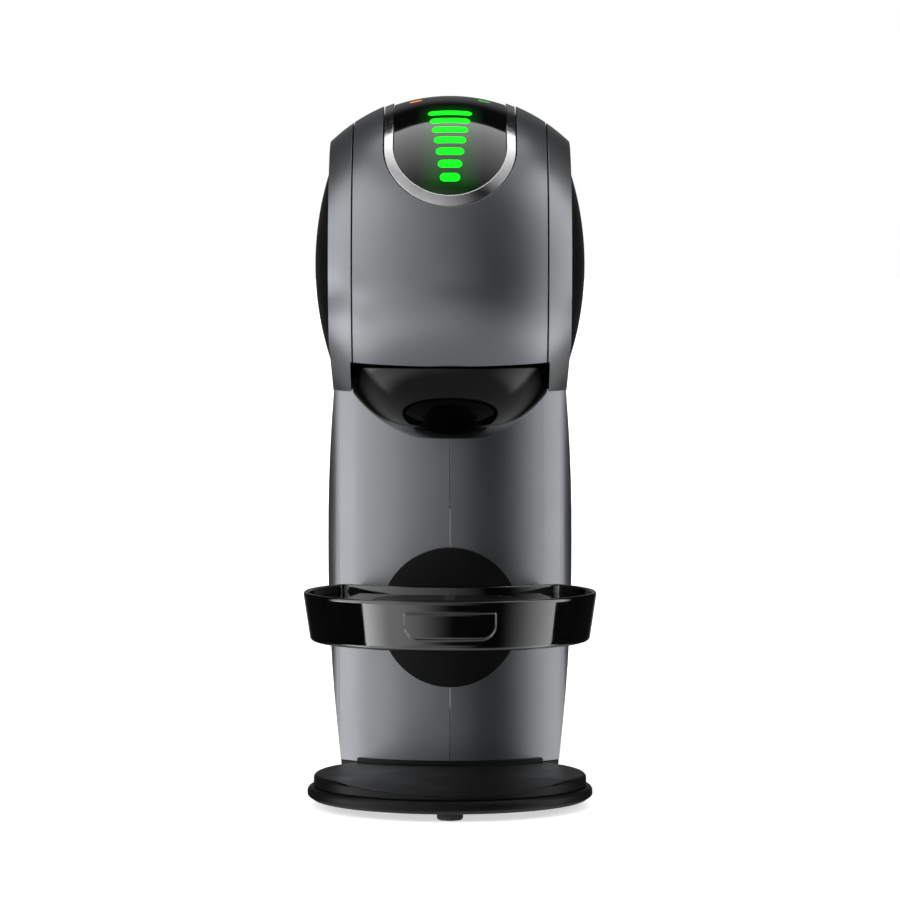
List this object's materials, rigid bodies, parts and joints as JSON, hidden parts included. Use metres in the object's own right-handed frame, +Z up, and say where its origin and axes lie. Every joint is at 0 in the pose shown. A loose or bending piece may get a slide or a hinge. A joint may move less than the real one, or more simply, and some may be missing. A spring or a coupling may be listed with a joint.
{
  "type": "pod coffee machine",
  "caption": "Coffee machine for pods: ball-shaped head with touch panel and locking handle over a bowed column, round foot, height-adjustable drip tray, rear water tank.",
  "frame": {"origin": "on the table, under the middle of the footprint's bounding box", "axes": "+Z up; the front, with the drip tray, faces -Y and the water tank is at +Y; +X is to the right seen from the front"},
  "size_m": [0.112, 0.29, 0.271],
  "materials": {
    "shell_grey": "metallic satin lacquer",
    "black_satin": "satin",
    "black_gloss": "high gloss",
    "dark_plastic": "matt",
    "pale_plastic": "satin",
    "display_glass": "high gloss",
    "green_light": "lit",
    "amber_light": "lit",
    "chrome_trim": "polished",
    "steel": "satin",
    "cast_aluminium": "as cast",
    "foot_rubber": "matt",
    "silicone": "matt",
    "clear_silicone": "milky",
    "tank_smoke": "smoky, translucent",
    "coil_steel": "lacquered",
    "board_green": "soldermask"
  },
  "bodies": {
    "machine": {"base_plate": "black_satin", "base_cover": "black_satin", "rubber_feet": "foot_rubber", "case_screws": "steel", "chassis": "dark_plastic", "shell_left": "shell_grey", "shell_right": "shell_grey", "front_panel": "shell_grey", "top_cover": "black_satin", "rear_cover": "black_satin", "side_disc_left": "black_satin", "side_disc_right": "black_satin", "display_frame": "black_gloss", "touch_panel": "display_glass", "light_bars": "green_light", "status_lights": "amber_light", "touch_board": "board_green", "button_switch": "dark_plastic", "brew_chamber": "dark_plastic", "brew_frame": "cast_aluminium", "guide_posts": "steel", "carrier_springs": "steel", "lock_switch": "dark_plastic", "chamber_magnets": "steel", "steel_strip": "steel", "tank_seat": "dark_plastic", "seat_ring": "foot_rubber", "supply_hose": "clear_silicone", "flow_meter": "pale_plastic", "pump_body": "pale_plastic", "pump_coil": "coil_steel", "pump_mounts": "foot_rubber", "pressure_hose": "clear_silicone", "heater_block": "cast_aluminium", "heater_fuses": "pale_plastic", "brew_hose": "clear_silicone", "control_board": "board_green", "cord_bush": "foot_rubber"},
    "handle": {"lock_handle": "chrome_trim", "handle_shaft": "steel", "lock_cams": "pale_plastic"},
    "injector": {"injector_carrier": "cast_aluminium", "injector_head": "dark_plastic", "injector_needle": "steel", "injector_seal": "silicone"},
    "pod_drawer": {"pod_holder": "black_gloss", "holder_magnets": "steel"},
    "tray": {"drip_tray": "black_gloss", "tray_bracket": "black_satin", "tray_magnets": "steel"},
    "grid": {"drip_grid": "black_gloss"},
    "tank": {"water_tank": "tank_smoke", "tank_filter": "pale_plastic", "lid_pin": "steel", "valve_spring": "steel"},
    "lid": {"tank_lid": "black_satin"},
    "valve": {"tank_valve": "pale_plastic"},
    "button": {"power_button": "black_gloss"},
    "wheel": {"flow_wheel": "pale_plastic"},
    "piston": {"pump_piston": "steel"}
  },
  "joints": [
    {"name": "handle_lift", "type": "hinge", "parent": "machine", "child": "handle", "pos_m": [0, -0.05, 0.25], "axis": [-1, 0, 0], "range_deg": [0, 65]},
    {"name": "injector_lift", "type": "slide", "parent": "machine", "child": "injector", "axis": [0, 0, 1], "range_m": [0, 0.008], "deforming": ["carrier_springs"]},
    {"name": "holder_slide", "type": "slide", "parent": "machine", "child": "pod_drawer", "axis": [0, -1, 0], "range_m": [0, 0.085]},
    {"name": "tray_height", "type": "slide", "parent": "machine", "child": "tray", "axis": [0, 0, 1], "range_m": [-0.027, 0.03]},
    {"name": "grid_lift", "type": "slide", "parent": "tray", "child": "grid", "axis": [0, 0, 1], "range_m": [0, 0.025]},
    {"name": "tank_lift", "type": "slide", "parent": "machine", "child": "tank", "axis": [0, 0, 1], "range_m": [0, 0.07]},
    {"name": "lid_hinge", "type": "hinge", "parent": "tank", "child": "lid", "pos_m": [0, 0.1422, 0.19808], "axis": [-1, 0, 0], "range_deg": [0, 95]},
    {"name": "valve_travel", "type": "slide", "parent": "tank", "child": "valve", "axis": [0, 0, 1], "range_m": [0, 0.003], "stiffness_N_per_m": 120, "springref_m": -0.004, "deforming": ["valve_spring"]},
    {"name": "button_press", "type": "slide", "parent": "machine", "child": "button", "axis": [0, -0.2924, -0.9563], "range_m": [0, 0.0012], "stiffness_N_per_m": 700},
    {"name": "flow_wheel_spin", "type": "hinge", "parent": "machine", "child": "wheel", "pos_m": [0, 0.0253, 0.02], "axis": [0, 0, 1], "continuous": true},
    {"name": "pump_stroke", "type": "slide", "parent": "machine", "child": "piston", "axis": [0, 0, 1], "range_m": [-0.003, 0.003], "stiffness_N_per_m": 900}
  ],
  "couplings": [
    {"joint": "injector_lift", "follows": "handle_lift", "m_per_rad": 0.007051}
  ]
}
